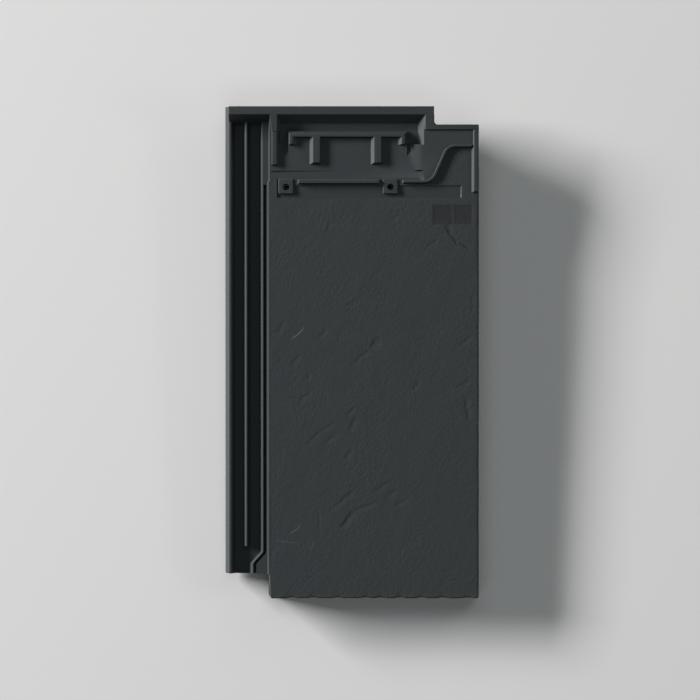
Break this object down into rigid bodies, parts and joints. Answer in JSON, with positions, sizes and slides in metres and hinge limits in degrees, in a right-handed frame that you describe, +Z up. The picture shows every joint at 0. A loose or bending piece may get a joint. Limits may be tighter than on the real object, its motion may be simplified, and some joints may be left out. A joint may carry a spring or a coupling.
{
  "type": "roof tile",
  "caption": "Flat interlocking clay roof tile with a riven slate face, a channelled under-lock on the left, a cover flap on the right, head bars, nail holes and hanging nibs.",
  "frame": {"origin": "middle of the tile's outline, on the level floor that its nibs and the foot of its tail touch", "axes": "+X across the tile towards the cover flap, +Y up the slope towards the head, +Z up out of the weathered face; lying on its nibs the tile leans 0.92 degrees about X"},
  "size_m": [0.24, 0.4652, 0.0362],
  "materials": {
    "fired_clay": "satin slate-grey engobe over fired clay"
  },
  "bodies": {
    "root": {"roof_tile": "fired_clay"}
  },
  "joints": []
}
